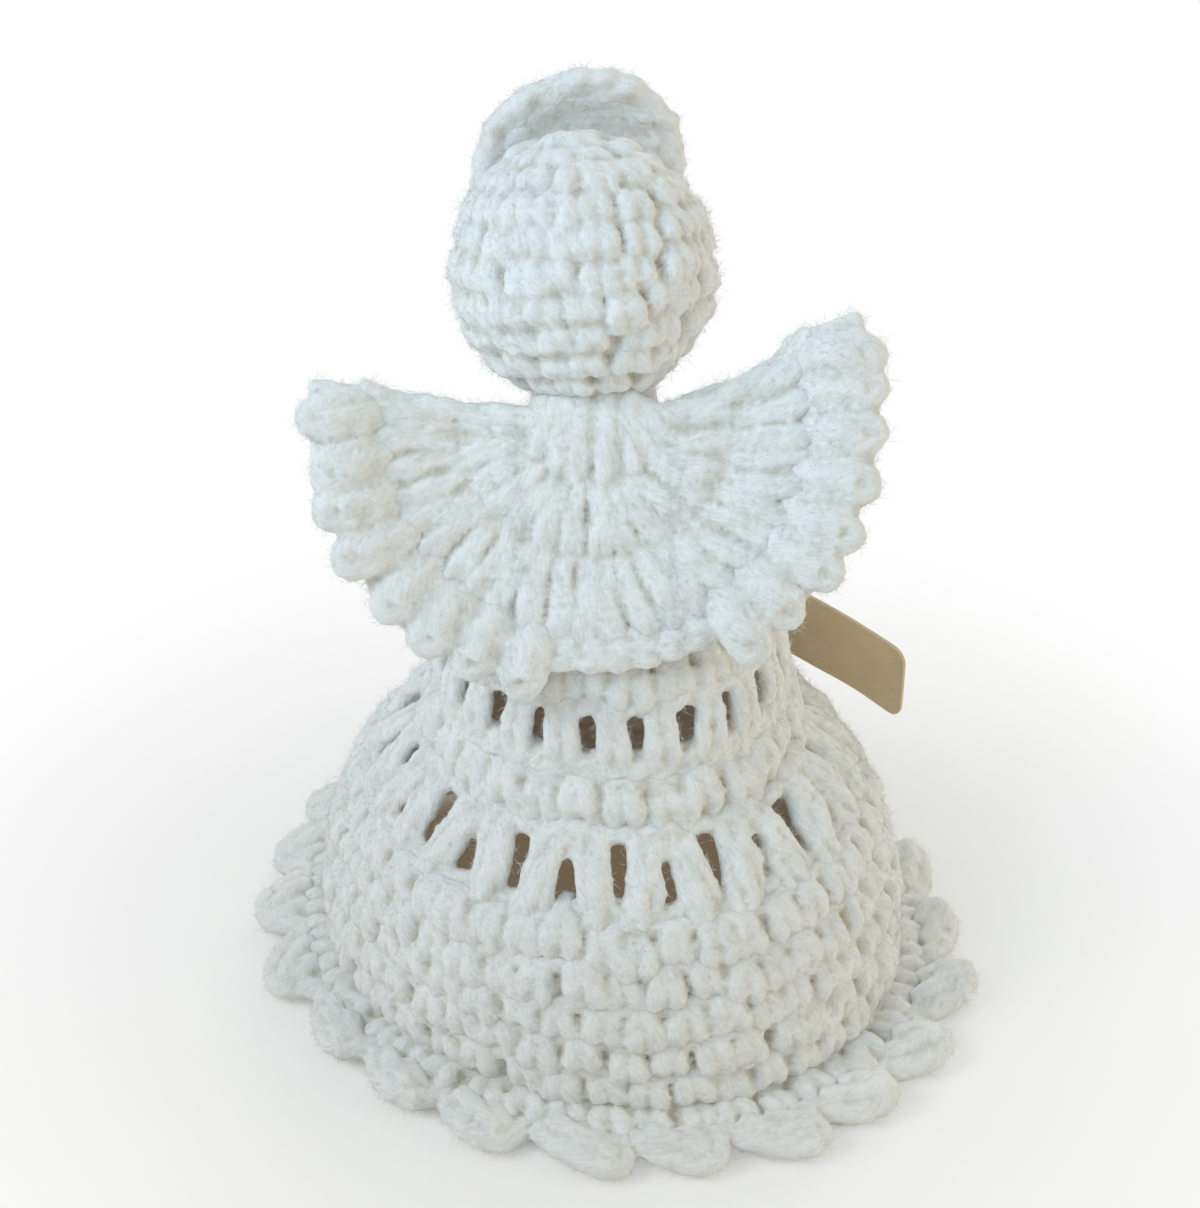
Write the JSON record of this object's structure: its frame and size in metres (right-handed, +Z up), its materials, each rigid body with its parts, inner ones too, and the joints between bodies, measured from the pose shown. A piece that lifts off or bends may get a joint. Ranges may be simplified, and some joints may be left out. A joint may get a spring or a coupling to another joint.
{
  "type": "crochet angel",
  "caption": "Standing white crochet angel: hollow openwork bell skirt with picot hem, ribbed fan wings, stuffed round head, halo disc and a small card tag.",
  "frame": {"origin": "on the table, at the middle of the hem's box", "axes": "+Z up through the skirt, -Y towards the wing fan (the pictured side), +X to the right in the picture"},
  "size_m": [0.1064, 0.1062, 0.1275],
  "materials": {
    "yarn": "soft fuzzy white acrylic yarn, matte",
    "fibrefill": "loose matte polyester fibre",
    "card": "matte cream card"
  },
  "bodies": {
    "dress": {"hem_round": "yarn", "picot_edging": "yarn", "skirt_round_1": "yarn", "skirt_round_2": "yarn", "skirt_round_3": "yarn", "skirt_round_4": "yarn", "skirt_round_5": "yarn", "lower_openwork": "yarn", "middle_round": "yarn", "upper_openwork": "yarn", "waist_round": "yarn", "bodice_shell": "yarn", "wing_panel": "yarn", "wing_panel_edging": "yarn"},
    "left_wing": {"left_wing": "yarn", "left_wing_edging": "yarn"},
    "right_wing": {"right_wing": "yarn", "right_wing_edging": "yarn"},
    "neck": {"neck_round": "yarn"},
    "head": {"head_shell": "yarn", "head_stuffing": "fibrefill"},
    "halo": {"halo_disc": "yarn", "halo_edging": "yarn"},
    "tag": {"tag_card": "card"}
  },
  "joints": [
    {"name": "neck_nod", "type": "hinge", "parent": "dress", "child": "neck", "pos_m": [-0.0023, 0, 0.0901], "axis": [1, 0, 0], "range_deg": [-10, 3], "stiffness_Nm_per_rad": 0.03},
    {"name": "head_turn", "type": "hinge", "parent": "neck", "child": "head", "pos_m": [-0.0023, 0, 0.0901], "axis": [-0.0872, 0.2746, 0.9576], "range_deg": [-35, 35], "stiffness_Nm_per_rad": 0.01},
    {"name": "halo_flex", "type": "hinge", "parent": "head", "child": "halo", "pos_m": [-0.00447, 0.02254, 0.10939], "axis": [0.9962, 0.024, 0.0838], "range_deg": [-8, 8], "stiffness_Nm_per_rad": 0.01},
    {"name": "left_wing_flap", "type": "hinge", "parent": "dress", "child": "left_wing", "pos_m": [-0.0153, -0.0069, 0.0915], "axis": [0, 0.5102, 0.8601], "range_deg": [-20, 40], "stiffness_Nm_per_rad": 0.012},
    {"name": "right_wing_flap", "type": "hinge", "parent": "dress", "child": "right_wing", "pos_m": [0.0107, -0.0069, 0.0915], "axis": [0, -0.5102, -0.8601], "range_deg": [-20, 40], "stiffness_Nm_per_rad": 0.012},
    {"name": "tag_swing", "type": "hinge", "parent": "dress", "child": "tag", "pos_m": [0.01048, 0.02594, 0.0468], "axis": [0, 0, 1], "range_deg": [-2, 25], "stiffness_Nm_per_rad": 0.002}
  ]
}
